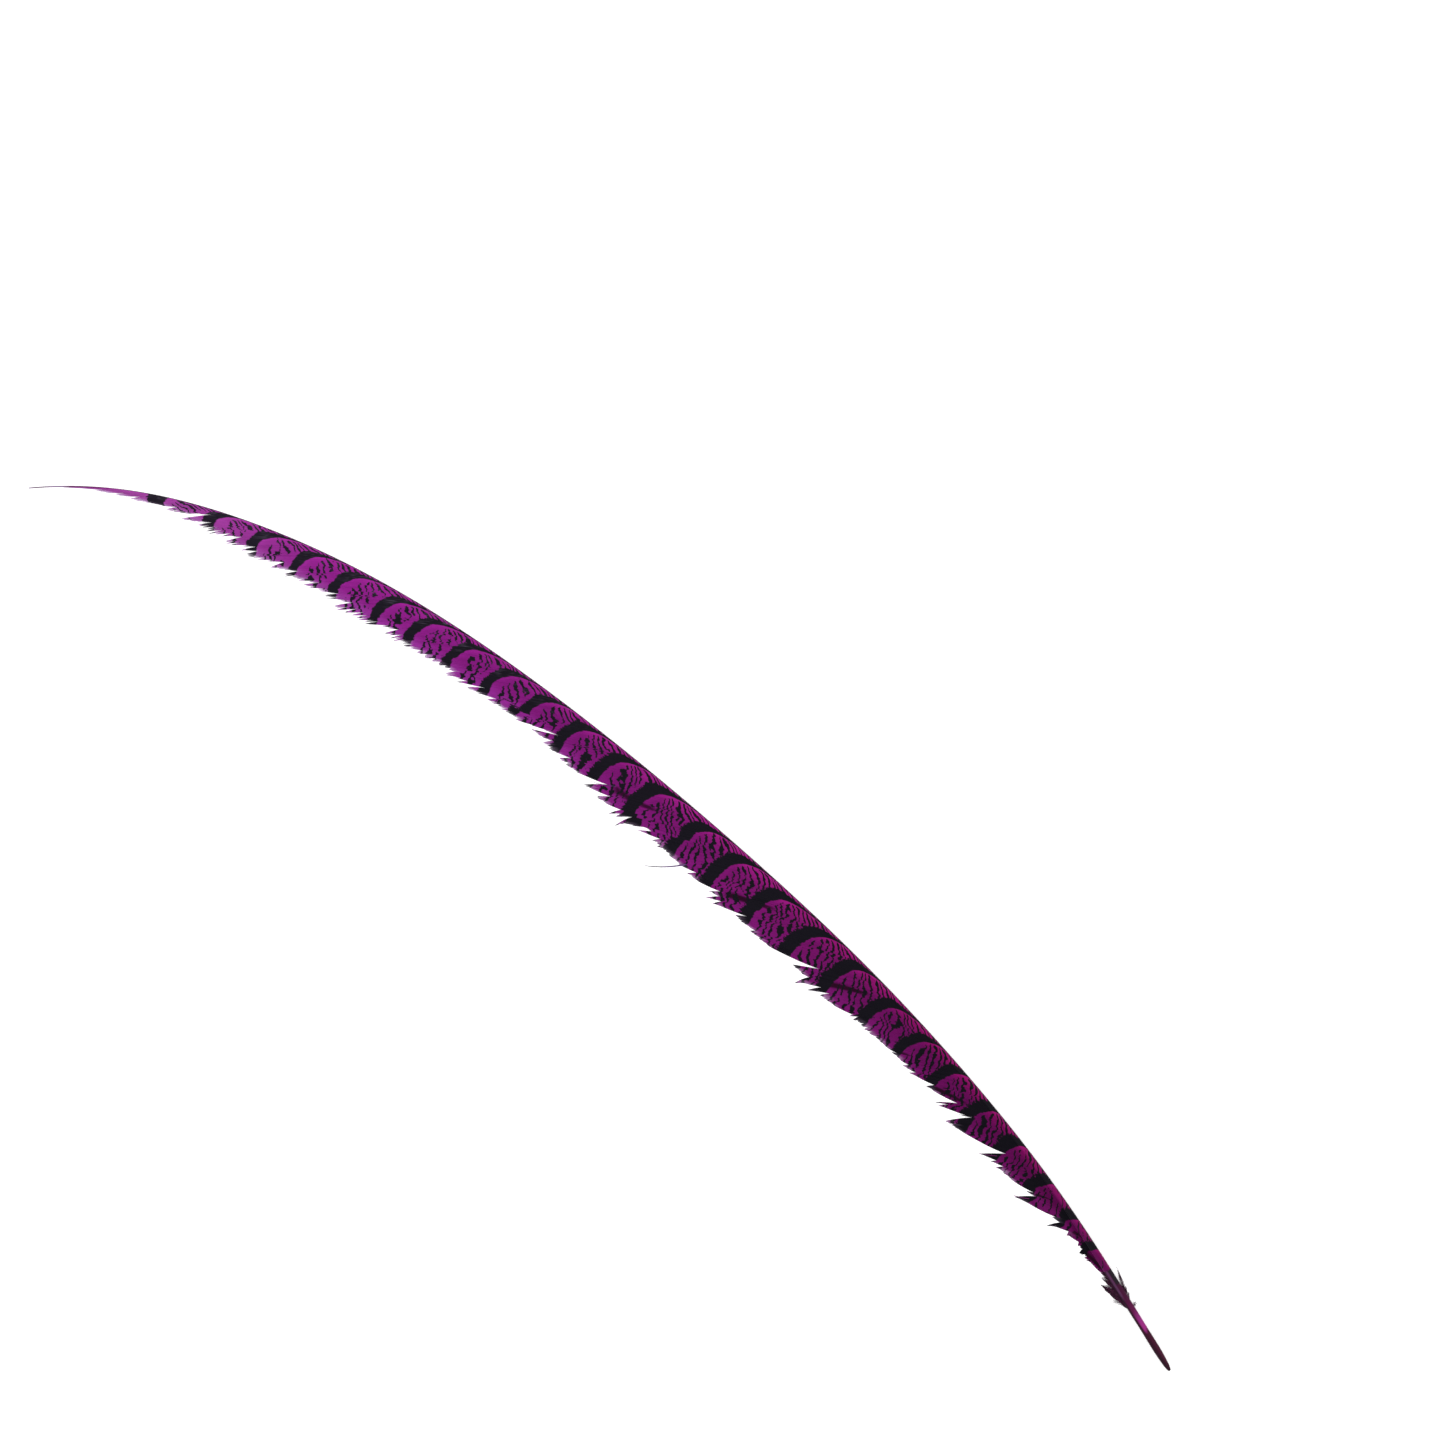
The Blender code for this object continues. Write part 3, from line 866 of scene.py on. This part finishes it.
def web_pieces(material):
    """The web, as pieces of a few locks each."""
    barbs = all_barbs()
    spots = barb_lines(barbs["spots"])
    along, across = spots[..., 0], spots[..., 1]
    ahead, left = steps_between(spots)
    share = web_shares(along, across)
    widths = barb_widths(barbs, spots, ahead, left)
    thicknesses = np.clip(widths * BARB_THICKNESS, *BARB_THICKNESSES)
    heights = web_height(along, across) + barbs["lift"][:, None] * rise(share, *LIFT_COMES)
    tilted = widths / 2 * math.sin(math.radians(BARB_TILT))
    heights = np.maximum(heights, thicknesses / 2 + tilted)
    features = barb_features(barbs, along, across, share, left)
    for number, locks in enumerate(np.array_split(np.arange(len(LOCKS)), PIECES)):
        chosen = np.isin(barbs["lock"], locks)
        strands = (part[chosen] for part in (spots, ahead, heights, widths, thicknesses))
        shown = {key: values[chosen] for key, values in features.items()}
        add_piece(strand_mesh(f"web_{number + 1}", *strands, BARB_TILT, shown), material)


def hairs_piece(name, hairs, material):
    """A piece of loose hairs of (foot, tip, bow, width and height at the foot)."""
    foot, tip, bow, widths, heights = (np.array(part, float) for part in zip(*hairs))
    way = tip - foot
    bend = (foot + tip) / 2 + np.stack([-way[:, 1], way[:, 0]], 1) * bow[:, None]
    t = np.linspace(0, 1, HAIR_STEPS)[:, None]
    spots = bend_through(foot[:, None], bend[:, None], tip[:, None], t)
    along, across = spots[..., 0], spots[..., 1]
    ahead, left = steps_between(spots)
    share = left / left[:, :1]
    widths = widths[:, None] * blend(HAIR_TIP, 1, share ** HAIR_POWER)
    heights = heights[:, None] * rise(share, *HAIR_SINKS)
    heights = np.maximum(heights, widths / 2 + HAIR_CLEARANCE)
    features = features_of(along, along, across, 0.0, 1.0, 0.0, left)
    mesh = strand_mesh(name, spots, ahead, heights, widths, widths * HAIR_THICKNESS, 0, features)
    add_piece(mesh, material)


def down_hairs():
    """The hairs of the down's tufts at the foot of the web."""
    chance = np.random.default_rng(SEED + 1)
    hairs = []
    for roots, side, target, scattering, count in DOWN:
        for _ in range(count):
            station = chance.uniform(*roots)
            reach = chance.uniform(*DOWN_REACH)
            tip = target + chance.normal(0, scattering, 2)
            foot = np.array([station, shaft_width(station) * side])
            bow = chance.uniform(-DOWN_BOW, DOWN_BOW)
            width = chance.uniform(*DOWN_WIDTHS)
            height = shaft_height(station) * chance.uniform(*DOWN_HEIGHTS)
            hairs.append((foot, blend(foot, tip, reach), bow, width, height))
    return hairs


def shaft_map(rings):
    """Cuts the shaft's skin into lengths, laid side by side, and its ends."""
    steps = np.arange(rings - 1)[:, None, None]
    sides = np.arange(SHAFT_SIDES)[None, :, None]
    per_row = math.ceil((rings - 1) / SHAFT_ROWS)
    along = (steps % per_row + np.array([0, 1, 1, 0])) / per_row
    around = (sides + np.array([0, 0, 1, 1])) / SHAFT_SIDES
    rows = (steps // per_row + blend(*SHAFT_ROW, around)) / SHAFT_ROWS
    walls = vectors(blend(*SHAFT_SPAN, along), rows).reshape(-1, 2)
    round_end = np.stack([np.cos(RING_TURNS), np.sin(RING_TURNS)], 1) * END_SIZE
    return np.concatenate([walls, *(round_end + centre for centre in END_CENTRES)])


def shaft_rings():
    """The station of each corner of the shaft, and its shares across and of the height."""
    count = round(LENGTH / SHAFT_STEP)
    stations = np.concatenate([QUILL_STATIONS, np.linspace(SHAFT_STEP, LENGTH, count)])
    turns = RING_TURNS - math.pi / 2
    up = np.sin(turns)
    above, below = (np.abs(up) ** power / 2 for power in SHAFT_ROUNDING)
    level = np.clip(np.where(up > 0, 0.5 + above, 0.5 - below), SHAFT_BELLY, 1)
    flank = (1 + np.cos(turns) * SHAFT_CLEARANCE) / 2
    return np.broadcast_arrays(stations[:, None], flank, level)


def shaft_piece(material):
    """The shaft, round above and flat below, closed at both ends."""
    along, flank, level = shaft_rings()
    across = flank * shaft_width(along)
    points = feather_points(along, across, level * shaft_height(along) * SHAFT_CLEARANCE)
    numbers = np.arange(along.size).reshape(along.shape)
    near, far = numbers[:-1], numbers[1:]
    walls = np.stack([near, far, np.roll(far, -1, 1), np.roll(near, -1, 1)], -1)
    faces = walls.reshape(-1, 4).tolist()
    faces += [numbers[0].tolist(), numbers[-1, ::-1].tolist()]
    share = web_shares(along, across)
    features = features_of(along, along, across, level, share, 0.0, END_LENGTH)
    features["flank"] = vectors(flank, 0.0, 0.0)
    add_piece(new_mesh("shaft", points, faces, features, shaft_map(len(along))), material)


def linear(colour):
    """The linear colour of a surface that shows as this sRGB colour in the light."""
    shares = [channel / 255 for channel in colour]
    shares = [s / 12.92 if s < 0.04045 else ((s + 0.055) / 1.055) ** 2.4 for s in shares]
    return [min(share / BRIGHTNESS, 1.0) for share in shares] + [1.0]


class Looks:
    """A material's nodes, made one call at a time."""

    def __init__(self, name):
        self.material = bpy.data.materials.new(name)
        self.material.use_nodes = True
        self.tree = self.material.node_tree

    def node(self, kind, sources, **settings):
        """A node, with its inputs joined to sockets or set to values."""
        node = self.tree.nodes.new("ShaderNode" + kind)
        for key, value in settings.items():
            setattr(node, key, value)
        self.join(node, sources)
        return node

    def join(self, node, sources):
        for key, source in sources.items():
            if isinstance(source, bpy.types.NodeSocket):
                self.tree.links.new(source, node.inputs[key])
            else:
                node.inputs[key].default_value = source

    def surface(self, sources):
        """The material, with these sources for its shader."""
        self.join(self.tree.nodes["Principled BSDF"], sources)
        return self.material

    def maths(self, operation, *sources):
        return self.node("Math", dict(enumerate(sources)), operation=operation).outputs[0]

    def times(self, value, *factors):
        for factor in factors:
            value = self.maths("MULTIPLY", value, factor)
        return value

    def plus(self, base, value, weight=1.0):
        return self.maths("MULTIPLY_ADD", value, weight, base)

    def rise(self, value, low, high):
        span = {"Value": value, "From Min": low, "From Max": high}
        return self.node("MapRange", span, interpolation_type="SMOOTHSTEP").outputs["Result"]

    def parts(self, vector):
        return self.node("SeparateXYZ", {0: vector}).outputs

    def noise(self, x, y, scale, amount=1.0, squeeze=(1, 1), layer=0.0, detail=2):
        """Smooth noise about 0, up to an amount, squeezed by factors in x and in y."""
        spot = {0: self.times(x, squeeze[0]), 1: self.times(y, squeeze[1]), 2: layer}
        spot = self.node("CombineXYZ", spot).outputs[0]
        node = self.node("TexNoise", {"Vector": spot, "Scale": scale, "Detail": detail})
        return self.plus(-amount, node.outputs[0], 2 * amount)

    def colours(self, value, stops):
        """The colour at a station between stops of (station, colour)."""
        first, last = stops[0][0], stops[-1][0]
        span = {"Value": value, "From Min": first, "From Max": last}
        share = self.node("MapRange", span).outputs["Result"]
        node = self.node("ValToRGB", {0: share})
        elements = node.color_ramp.elements
        while len(elements) < len(stops):
            elements.new(0.5)
        for element, (station, colour) in zip(elements, stops):
            element.position = (station - first) / (last - first)
            element.color = linear(colour)
        return node.outputs["Color"]

    def mix(self, share, a, b):
        """A mix of two colours, each a socket or sRGB."""
        a, b = (linear(c) if isinstance(c, tuple) else c for c in (a, b))
        return self.node("Mix", {0: share, 6: a, 7: b}, data_type="RGBA").outputs[2]


class FeatherLooks(Looks):
    """The nodes of a material that reads the meshes' features."""

    def __init__(self, name):
        super().__init__(name)
        self.along, self.across, self.tone = self.feature("place")
        self.outside, cycle, self.line = self.feature("marks")
        self.share, self.crease, self.left = self.feature("look")
        self.past_bar = self.maths("FRACT", cycle)

    def feature(self, name):
        return self.parts(self.node("Attribute", {}, attribute_name=name).outputs["Vector"])

    def texture(self, **settings):
        return self.noise(self.along, self.across, **settings)

    def places(self, spans):
        """1 past every span of (feature, low, high), and 0 before any."""
        return self.times(*(self.rise(getattr(self, name), *span) for name, *span in spans))

    def grown(self, span, start, end):
        """What goes from start to end over a span of stations."""
        return self.plus(start, self.rise(self.along, *span), end - start)

    def finished(self, colour, grain, relief, depth, finish):
        """The material with its colour, grain and relief."""
        roughness, variation, strength, sheen, shine = finish
        bump = {"Strength": strength, "Distance": depth, "Height": relief}
        return self.surface({
            "Base Color": colour,
            "Roughness": self.plus(roughness, grain, variation),
            "Normal": self.node("Bump", bump).outputs[0],
            "Sheen Weight": sheen,
            "Specular IOR Level": shine,
            "IOR": KERATIN_IOR,
        })


def bar_share(looks):
    """How black a spot is from the bars, which are frayed towards the tip."""
    edge = looks.plus(looks.outside, looks.texture(**BAR_WAVER))
    frayed = looks.rise(looks.past_bar, *FRAYED_SIDE)
    fray = looks.plus(LEAST_FRAY, frayed, looks.grown(*MORE_FRAY))
    return looks.rise(looks.plus(edge, looks.texture(**BAR_FRAY), fray), *BAR_EDGE)


def line_share(looks):
    """How black a spot is from the fine lines between the bars."""
    phase = looks.plus(looks.line, looks.noise(looks.line, looks.across, **LINE_SWAY))
    phase = looks.plus(phase, looks.texture(**LINE_CURL))
    phase = looks.plus(phase, looks.texture(**LINE_WOBBLE), looks.grown(*WOBBLE_GROWS))
    wave = looks.maths("SINE", looks.times(phase, 2 * math.pi))
    wave = looks.plus(wave, looks.noise(phase, looks.across, **STROKES))
    wave = looks.plus(wave, looks.texture(**DOTS))
    before = looks.rise(looks.plus(looks.past_bar, looks.grown(*STOP_GROWS)), *STOP_BEFORE)
    after = looks.rise(looks.plus(looks.outside, looks.grown(*BEGIN_GROWS)), *BEGIN_AFTER)
    after = looks.times(after, looks.rise(looks.share, *BEGIN_OUTSIDE))
    wave = looks.plus(wave, looks.plus(before, after), CLEARING)
    beside = looks.rise(looks.share, *BESIDE_SHAFT)
    wave = looks.plus(wave, beside, looks.grown(*BESIDE_GROWS))
    for fewer in LINES_FEWER:
        wave = looks.plus(wave, looks.grown(*fewer))
    return looks.rise(wave, *LINE_EDGE)


def dye_and_highlight_colour(looks):
    """The dye's colour, how its brightness differs, and a painted highlight beside the bars."""
    near, middle, edge = (
        looks.colours(looks.along, stops) for stops in (NEAR_SHAFT, MID_WEB, FREE_EDGE)
    )
    colour = looks.mix(looks.rise(looks.share, *MID_COMES), near, middle)
    colour = looks.mix(looks.rise(looks.share, *EDGE_COMES), colour, edge)
    layer = looks.times(looks.tone, SILK_LAYERS)
    value = looks.plus(1.0, looks.texture(**BROAD_TONE))
    value = looks.plus(value, looks.noise(looks.along, looks.share, layer=layer, **SILK))
    value = looks.plus(value, looks.tone, BARB_TONE)
    # A painted highlight beside a bar's smooth edge, near the shaft.
    value = looks.plus(value, looks.places(PAINTED_HIGHLIGHT_PLACES), PAINTED_HIGHLIGHT)
    return looks.node("HueSaturation", {"Value": value, "Color": colour}).outputs[0]


def black_colour(looks):
    """Black, with a painted sheen in streaks along some barbs."""
    streaks = looks.noise(looks.along, looks.tone, **BLACK_SHEEN_STREAKS)
    # A painted sheen in streaks along some barbs.
    black_sheen = looks.times(looks.rise(streaks, *BLACK_SHEEN_PARTS), looks.places(BLACK_SHEEN_PLACES))
    black = looks.colours(looks.along, BLACK)
    return looks.mix(looks.times(black_sheen, BLACK_SHEEN_AMOUNT), black, BLACK_SHEEN_COLOUR)


def web_colour(looks):
    """The web's colour, with its bars and lines, painted shade in its creases, and pale barb ends.
    """
    end = looks.rise(looks.plus(looks.left, looks.tone, PALE_BARBS), *PALE_ENDS)
    pale = looks.times(end, looks.grown(*PALE_GROWS), looks.places(PALE_PLACES))
    colour = looks.mix(pale, dye_and_highlight_colour(looks), PALE_TIP)
    # Painted shade in the creases where locks overlap.
    colour = looks.mix(looks.crease, colour, CREASE_SHADE_COLOUR)
    colour = looks.mix(looks.rise(looks.along, *DOWN_ENDS), colour, DOWN_COLOUR)
    black = looks.mix(looks.times(pale, BLACK_PALING), black_colour(looks), PALE_TIP)
    return looks.mix(looks.maths("MAXIMUM", bar_share(looks), line_share(looks)), colour, black)


def barbed(looks, colour, grain, finish):
    """The material with a relief of fine barbules along its barbs."""
    relief = looks.texture(layer=looks.tone, **BARBULES)
    return looks.finished(colour, grain, relief, BARBULE_DEPTH, finish)


def barb_material():
    looks = FeatherLooks("barbs")
    grain = looks.texture(scale=BARB_GRAIN, layer=looks.tone)
    return barbed(looks, web_colour(looks), grain, BARB_FINISH)


def down_material():
    looks = FeatherLooks("down")
    tint = looks.texture(scale=DOWN_GRAIN)
    colour = looks.mix(looks.rise(tint, *DOWN_TINTS), DOWN_COLOUR, DOWN_PALER)
    return barbed(looks, colour, tint, DOWN_FINISH)


def stray_material():
    looks = FeatherLooks("stray_barbs")
    tint = looks.texture(scale=STRAY_GRAIN)
    colour = looks.mix(looks.rise(tint, *STRAY_TINTS), STRAY_MIDDLE, STRAY_PALE)
    colour = looks.mix(looks.times(bar_share(looks), STRAY_BARS), colour, STRAY_DARK)
    colour = looks.mix(looks.rise(looks.along, *STRAY_TURNS), STRAY_EARLY, colour)
    return barbed(looks, colour, tint, STRAY_FINISH)


def horn_colour(looks, streaks):
    """The quill's colour: horn with painted shade on one flank, a painted sheen and a dark patch.
    """
    slanted = looks.plus(looks.plus(looks.along, looks.flank, QUILL_SLANT), streaks, QUILL_STREAKS)
    side = looks.plus(looks.plus(looks.flank, looks.along, SHADE_SLANT), streaks, SHADE_STREAKS)
    shade = looks.colours(looks.along, QUILL_SHADE)
    # Painted shade on the quill's flank towards the web.
    colour = looks.mix(looks.rise(side, *SHADED_FLANK), looks.colours(slanted, QUILL), shade)
    sheen = looks.times(looks.places(SHEEN_PLACES), FLANK_AMOUNT)
    # A painted sheen along the quill's flank.
    colour = looks.mix(sheen, colour, QUILL_SHEEN)
    return looks.mix(looks.places(PATCH_PLACES), colour, DARK_PATCH)


def shaft_material():
    """Horn at the quill, then the web's own colours, with a dark line down the bulge."""
    looks = FeatherLooks("shaft")
    looks.flank = looks.feature("flank")[0]
    streaks = looks.texture(**HORN_STREAKS)
    webbed = looks.rise(looks.plus(looks.along, streaks, WEB_STREAKS), *WEB_BEGINS)
    colour = looks.mix(webbed, horn_colour(looks, streaks), web_colour(looks))
    bulge = looks.times(looks.places(BULGE_PLACES), FLANK_AMOUNT)
    colour = looks.mix(bulge, colour, BULGE_LINE)
    bare = looks.colours(looks.along, BARE_TIP)
    colour = looks.mix(looks.rise(looks.along, *BARE_FROM), colour, bare)
    relief = looks.texture(**HORN_RELIEF)
    return looks.finished(colour, streaks, relief, HORN_DEPTH, SHAFT_FINISH)


def floor_material():
    looks = Looks("floor")
    x, y, z = looks.parts(looks.node("TexCoord", {}).outputs["Object"])
    grain = looks.noise(x, y, FLOOR_GRAIN, layer=z)
    roughness, variation = FLOOR_ROUGHNESS
    return looks.surface({
        "Base Color": FLOOR_COLOUR,
        "Roughness": looks.plus(roughness, grain, variation),
        "Specular IOR Level": FLOOR_SHINE,
        "Emission Color": WHITE,
        # The floor's faint glow is painted light.
        "Emission Strength": FLOOR_GLOW,
    })


def add_floor():
    x = y = FLOOR_REACH
    mesh = bpy.data.meshes.new("floor")
    mesh.from_pydata([(-x, -y, 0), (x, -y, 0), (x, y, 0), (-x, y, 0)], [], [(0, 1, 2, 3)])
    mesh.materials.append(floor_material())
    floor = new_object("floor", mesh)
    floor.location.z = -FLOOR_DROP


def add_lights():
    for number, (turn, height) in enumerate(SUNS):
        light = bpy.data.lights.new(f"soft_{number + 1}", "SUN")
        light.energy = SUN_STRENGTH
        light.angle = math.radians(SUN_SPREAD)
        lamp = new_object(light.name, light)
        lamp.rotation_euler = (math.radians(90 - height), 0, math.radians(turn))
    world = bpy.data.worlds.new("studio")
    world.use_nodes = True
    sky = world.node_tree.nodes["Background"].inputs
    sky["Color"].default_value = WHITE
    sky["Strength"].default_value = SKY_STRENGTH
    bpy.context.scene.world = world


def add_camera():
    view = bpy.data.cameras.new("above")
    view.lens = LENS
    view.sensor_width = SENSOR
    view.clip_start, view.clip_end = CLIPPING
    camera = new_object("above", view)
    x, y = (QUILL_END + PICTURE_CENTRE) * MM
    camera.location = (x, y, PICTURE_WIDTH * LENS / SENSOR * MM)
    camera.rotation_euler = (0, 0, math.radians(PICTURE_RIGHT))
    bpy.context.scene.camera = camera
    bpy.context.scene.view_settings.view_transform = "Standard"


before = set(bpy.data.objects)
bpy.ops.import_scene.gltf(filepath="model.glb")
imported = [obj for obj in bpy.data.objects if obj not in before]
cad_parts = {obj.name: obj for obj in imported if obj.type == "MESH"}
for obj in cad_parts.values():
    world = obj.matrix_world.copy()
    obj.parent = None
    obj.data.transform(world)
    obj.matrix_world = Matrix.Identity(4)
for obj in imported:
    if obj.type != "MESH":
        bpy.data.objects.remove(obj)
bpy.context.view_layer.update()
QUILL_END = quill_end()

web_pieces(barb_material())
shaft_piece(shaft_material())
hairs_piece("down", down_hairs(), down_material())
hairs_piece("stray_barbs", STRAYS, stray_material())
add_floor()
add_lights()
add_camera()
